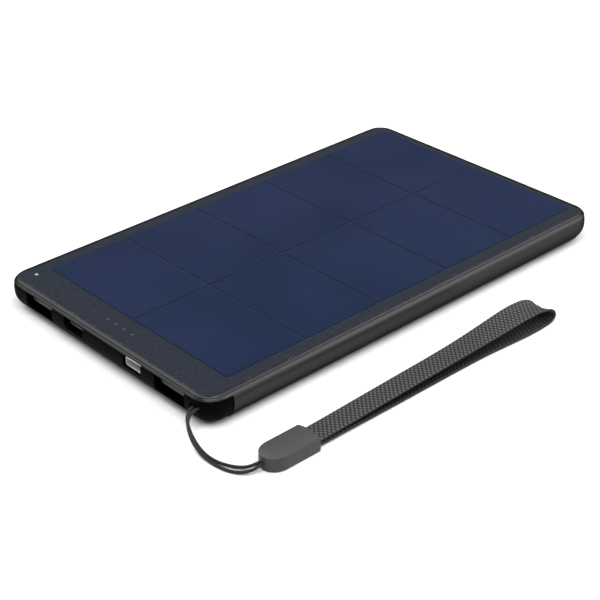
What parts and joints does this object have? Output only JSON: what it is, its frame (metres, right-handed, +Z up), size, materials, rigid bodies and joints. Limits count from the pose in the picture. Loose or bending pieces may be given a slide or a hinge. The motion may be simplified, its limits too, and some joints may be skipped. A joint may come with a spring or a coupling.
{
  "type": "solar phone charger",
  "caption": "Flat rounded power bank with a solar panel on its top face, charging sockets and status lights at one end, and a woven wrist strap on a thin cord.",
  "frame": {"origin": "centre of the body's underside, on the table that it lies on, without the strap", "axes": "+X along the body away from the sockets, +Z up out of the solar panel, +Y across the body towards the side with the power key"},
  "size_m": [0.1674, 0.1235, 0.0101],
  "materials": {
    "housing_aluminium": "satin, dark anodised",
    "cap_plastic": "fine matt mould texture",
    "cover_sheet": "clear gloss",
    "encapsulant": "clear",
    "silicon_cell": "dark blue under clear sheet",
    "copper_ribbon": "black lacquered copper",
    "backboard": "black",
    "adhesive": "black tape",
    "pouch_foil": "laminated foil",
    "foam": "closed cell",
    "circuit_board": "solder mask",
    "nickel": "plain",
    "screw_steel": "zinc plated",
    "socket_steel": "nickel plated",
    "dark_socket_steel": "black nickel plated",
    "socket_plastic": "black",
    "contact_gold": "gold plated",
    "chip_plastic": "moulded",
    "ferrite": "ferrite",
    "ceramic_part": "ceramic",
    "led_white": "clear domed",
    "led_green": "clear domed",
    "light_guide": "clear acrylic",
    "key_plastic": "fine matt mould texture",
    "switch_plastic": "moulded",
    "wire_insulation": "red and black",
    "pin_steel": "plain",
    "braided_cord": "tight braid",
    "ferrule_plastic": "soft touch",
    "crimp_steel": "plain",
    "strap_webbing": "woven polyester"
  },
  "bodies": {
    "body": {"body_sleeve": "housing_aluminium", "port_end_cap": "cap_plastic", "far_end_cap": "housing_aluminium", "cover_sheet": "cover_sheet", "encapsulant_film": "encapsulant", "cell_links": "copper_ribbon", "solar_backboard": "backboard", "backboard_adhesive": "adhesive", "battery_cell_left": "pouch_foil", "battery_cell_right": "pouch_foil", "battery_pad": "foam", "battery_tabs": "nickel", "protection_board": "circuit_board", "main_board": "circuit_board", "board_screws": "screw_steel", "inductor": "ferrite", "power_chip": "chip_plastic", "controller_chip": "chip_plastic", "capacitors": "ceramic_part", "usb_c_shell": "dark_socket_steel", "usb_c_tongue": "socket_plastic", "usb_c_contacts": "contact_gold", "micro_usb_shell": "socket_steel", "micro_usb_tongue": "socket_plastic", "micro_usb_contacts": "contact_gold", "charge_led": "led_green", "level_light_guide": "light_guide", "charge_light_guide": "light_guide", "switch_body": "switch_plastic", "solar_leads": "wire_insulation", "battery_leads": "wire_insulation", "lanyard_pin": "pin_steel", "lanyard_cord": "braided_cord", "ferrule": "ferrule_plastic", "cord_crimp": "crimp_steel", "wrist_strap": "strap_webbing", "solar_cell_01": "silicon_cell", "solar_cell_02": "silicon_cell", "solar_cell_03": "silicon_cell", "solar_cell_04": "silicon_cell", "solar_cell_05": "silicon_cell", "solar_cell_06": "silicon_cell", "solar_cell_07": "silicon_cell", "solar_cell_08": "silicon_cell", "solar_cell_09": "silicon_cell", "solar_cell_10": "silicon_cell", "usb_a_shell_1": "dark_socket_steel", "usb_a_tongue_1": "socket_plastic", "usb_a_contacts_1": "contact_gold", "usb_a_shell_2": "dark_socket_steel", "usb_a_tongue_2": "socket_plastic", "usb_a_contacts_2": "contact_gold", "level_led_1": "led_white", "level_led_2": "led_white", "level_led_3": "led_white", "level_led_4": "led_white"},
    "power_key": {"power_key": "key_plastic", "switch_plunger": "switch_plastic"}
  },
  "joints": [
    {"name": "power_key_press", "type": "slide", "parent": "body", "child": "power_key", "axis": [0, -1, 0], "range_m": [0, 0.0003], "stiffness_N_per_m": 1500, "springref_m": -0.0003}
  ]
}
